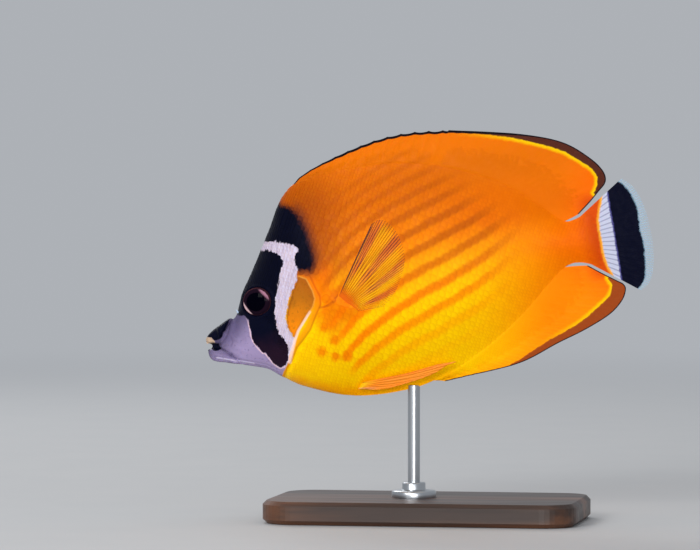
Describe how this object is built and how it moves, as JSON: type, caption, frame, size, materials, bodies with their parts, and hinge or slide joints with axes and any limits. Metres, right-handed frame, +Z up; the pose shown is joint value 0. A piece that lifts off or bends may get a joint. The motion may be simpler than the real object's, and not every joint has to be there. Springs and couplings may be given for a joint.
{
  "type": "wiebel's butterflyfish",
  "caption": "Still, life-size butterflyfish with a deep disc-shaped body, short snout, spread fins and a dark-banded tail, held head slightly down on a steel rod over a small wooden base",
  "frame": {"origin": "centre of the model's bounding box on the underside of the stand's base", "axes": "+X towards the fish's tail, +Y towards the fish's right side, +Z up"},
  "size_m": [0.1614, 0.062, 0.1395],
  "materials": {
    "orange": "satin, deep orange skin and fins with brown-orange stripes",
    "yellow": "satin, yellow-orange scaled skin",
    "pearl": "satin, lavender white",
    "mask": "satin, blue-black",
    "tail": "satin, white base, near-black band and a clear margin",
    "eye": "wet gloss",
    "walnut": "satin lacquer",
    "steel": "satin"
  },
  "bodies": {
    "root": {"head": "mask", "upper_jaw": "mask", "lower_jaw": "pearl", "trunk": "yellow", "tail_stalk": "orange", "dorsal_fin_spiny": "orange", "dorsal_fin_soft": "orange", "anal_fin": "orange", "tail_fin": "tail", "eye_left": "eye", "eye_right": "eye", "gill_cover_left": "orange", "gill_cover_right": "orange", "pectoral_fin_left": "orange", "pectoral_fin_right": "orange", "pelvic_fin_left": "orange", "pelvic_fin_right": "orange", "stand_base": "walnut", "stand_rod": "steel", "stand_collar": "steel"}
  },
  "joints": []
}
